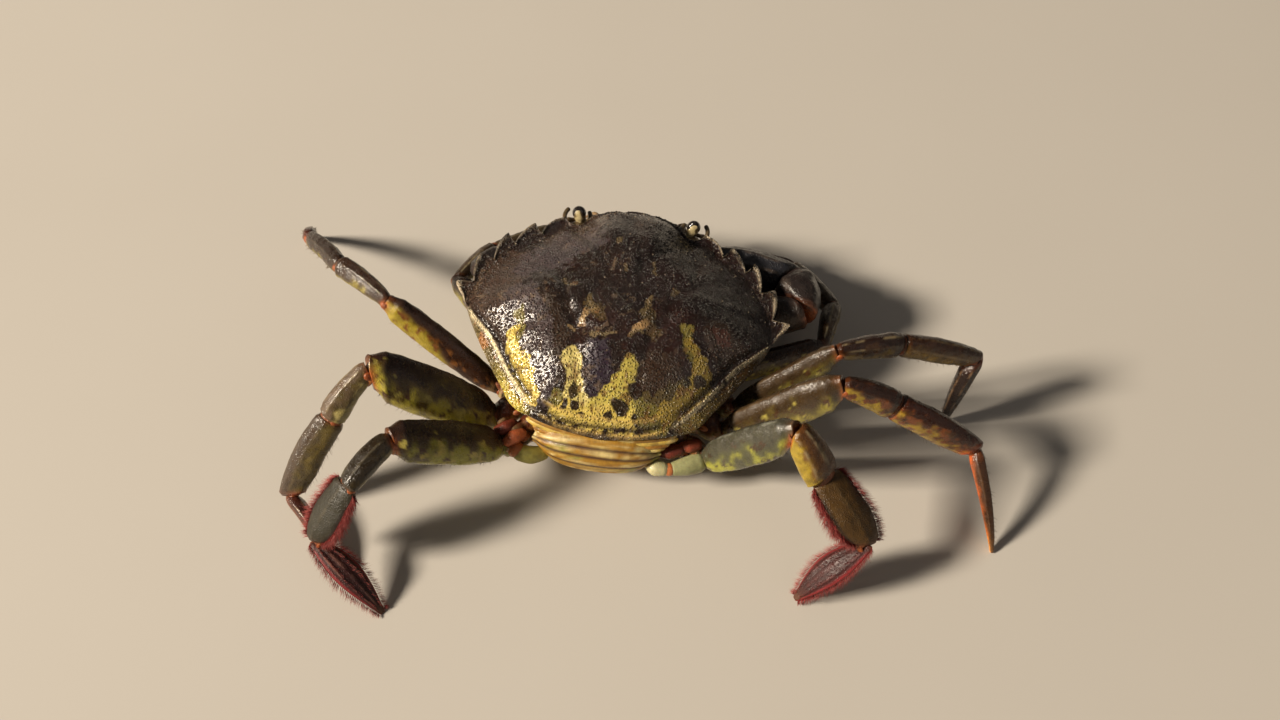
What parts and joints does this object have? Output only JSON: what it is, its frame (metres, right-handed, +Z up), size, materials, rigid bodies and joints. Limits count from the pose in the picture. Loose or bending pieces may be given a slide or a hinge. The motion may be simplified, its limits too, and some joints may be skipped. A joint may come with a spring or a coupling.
{
  "type": "shore crab",
  "caption": "Shore crab at life size, standing on its legs with the claws folded in front; a still model.",
  "frame": {"origin": "on the floor, under the middle of the bounding box", "axes": "+X towards the crab's right, +Y towards its front, +Z up"},
  "size_m": [0.131, 0.0849, 0.0283],
  "materials": {
    "shell": "wet granular shell, dark brown with yellow blotches",
    "belly": "smooth yellow-olive underside",
    "leg": "wet shell, dark brown above and yellow-green mottled below",
    "hip": "red-brown joints at the base of the legs",
    "paddle": "crimson swimming plate",
    "claw": "smooth olive and blue-grey shell",
    "eye": "glossy black",
    "feeler": "ringed brown feeler"
  },
  "bodies": {
    "root": {"abdomen": "belly", "antenna_L": "feeler", "antenna_R": "feeler", "carapace": "shell", "claw_carpus_L": "claw", "claw_carpus_R": "claw", "claw_finger_L": "claw", "claw_finger_R": "claw", "claw_hip_L": "hip", "claw_hip_R": "hip", "claw_merus_L": "claw", "claw_merus_R": "claw", "claw_palm_L": "claw", "claw_palm_R": "claw", "eye_L": "eye", "eye_R": "eye", "face": "belly", "leg2_carpus_L": "leg", "leg2_carpus_R": "leg", "leg2_dactylus_L": "leg", "leg2_dactylus_R": "leg", "leg2_hip_L": "hip", "leg2_hip_R": "hip", "leg2_merus_L": "leg", "leg2_merus_R": "leg", "leg2_propodus_L": "leg", "leg2_propodus_R": "leg", "leg3_carpus_L": "leg", "leg3_carpus_R": "leg", "leg3_dactylus_L": "leg", "leg3_dactylus_R": "leg", "leg3_hip_L": "hip", "leg3_hip_R": "hip", "leg3_merus_L": "leg", "leg3_merus_R": "leg", "leg3_propodus_L": "leg", "leg3_propodus_R": "leg", "leg4_carpus_L": "leg", "leg4_carpus_R": "leg", "leg4_dactylus_L": "leg", "leg4_dactylus_R": "leg", "leg4_hip_L": "hip", "leg4_hip_R": "hip", "leg4_merus_L": "leg", "leg4_merus_R": "leg", "leg4_propodus_L": "leg", "leg4_propodus_R": "leg", "leg5_carpus_L": "leg", "leg5_carpus_R": "leg", "leg5_dactylus_L": "paddle", "leg5_dactylus_R": "paddle", "leg5_hip_L": "hip", "leg5_hip_R": "hip", "leg5_merus_L": "leg", "leg5_merus_R": "leg", "leg5_propodus_L": "leg", "leg5_propodus_R": "leg", "maxilliped_L": "belly", "maxilliped_R": "belly", "sternum": "belly"}
  },
  "joints": []
}
